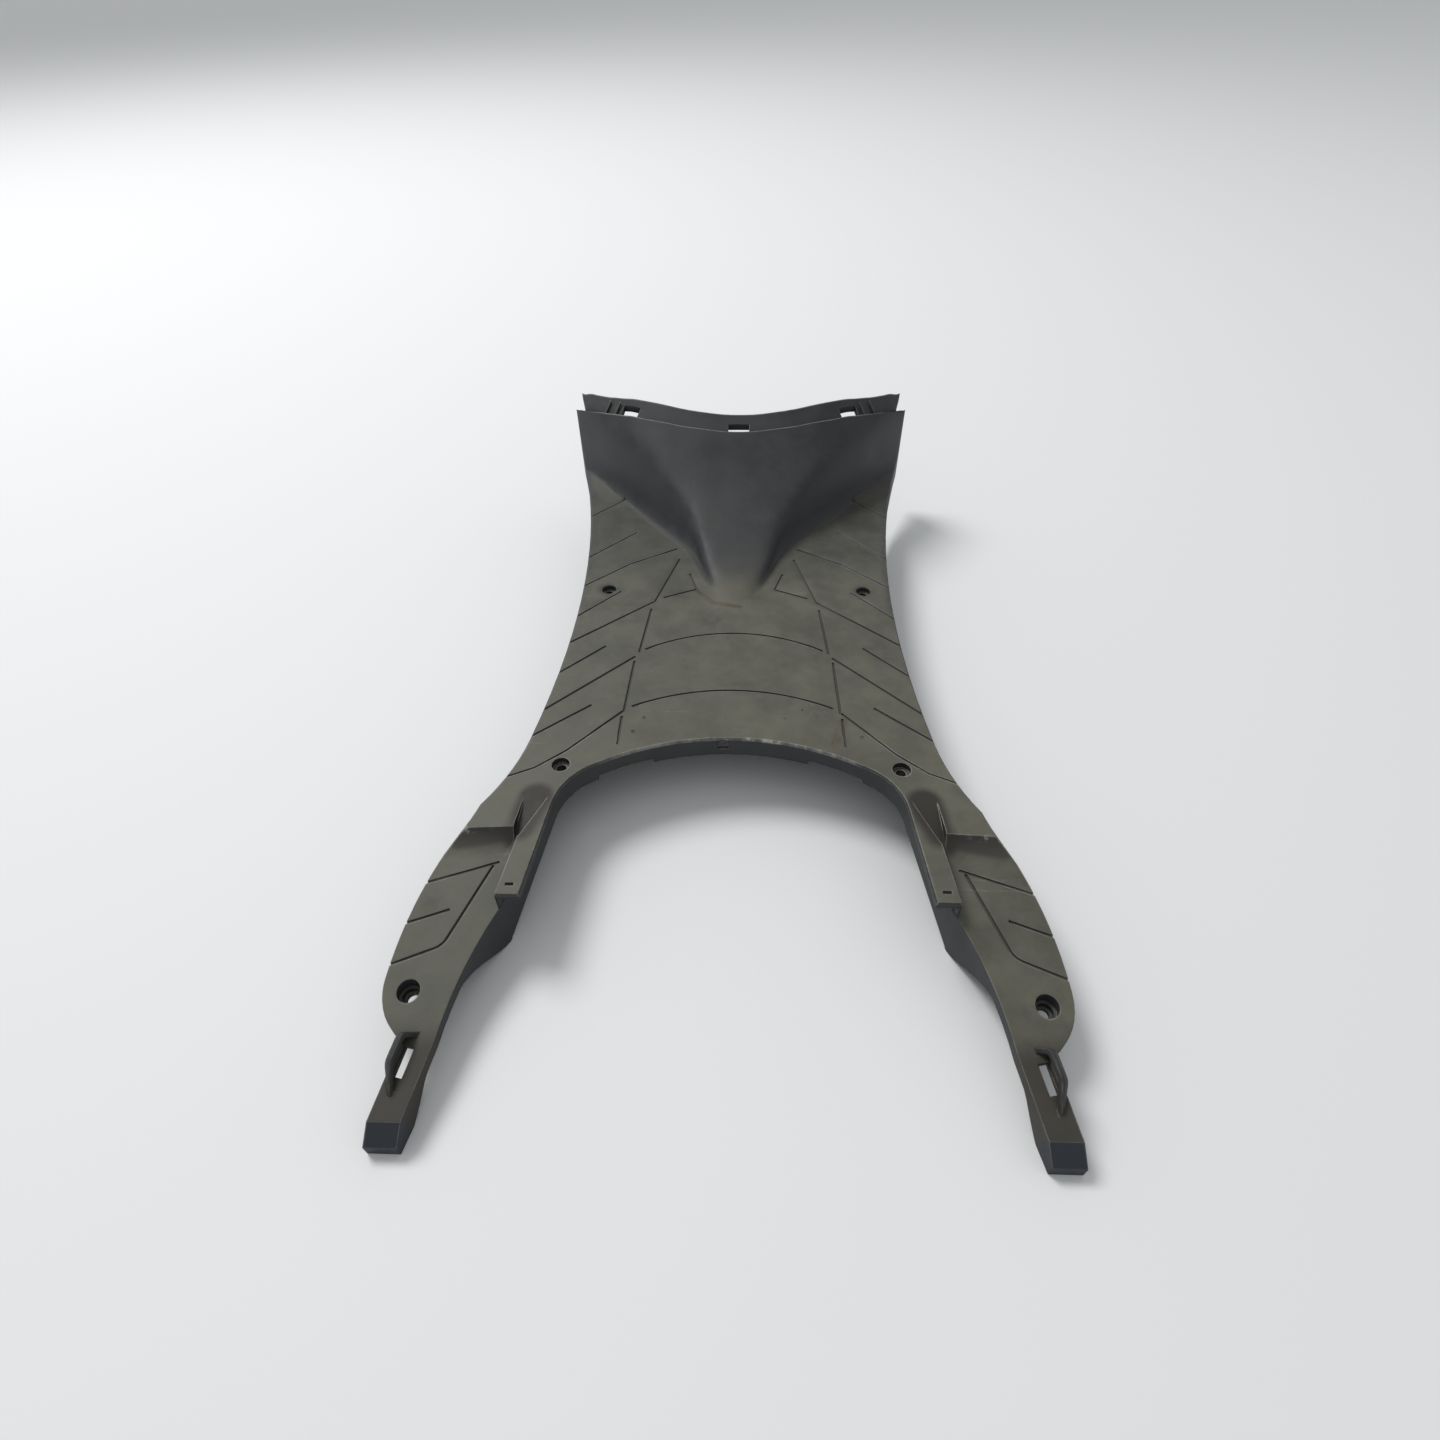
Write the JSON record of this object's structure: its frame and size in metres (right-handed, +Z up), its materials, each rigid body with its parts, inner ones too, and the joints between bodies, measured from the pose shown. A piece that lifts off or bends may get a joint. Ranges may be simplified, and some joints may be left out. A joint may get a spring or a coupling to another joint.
{
  "type": "scooter floorboard",
  "caption": "Moulded scooter floorboard with foot wells beside a front hump, a grooved tread, a slotted front tongue and rear arms with strap loops.",
  "frame": {"origin": "middle of the panel's box, on the plane its skirts rest on", "axes": "+X to the scooter's right, +Y to its front, +Z up"},
  "size_m": [0.443, 0.7708, 0.1545],
  "materials": {
    "black_plastic": "fine grained matt moulding, worn and dusty"
  },
  "bodies": {
    "root": {"floorboard": "black_plastic"}
  },
  "joints": []
}
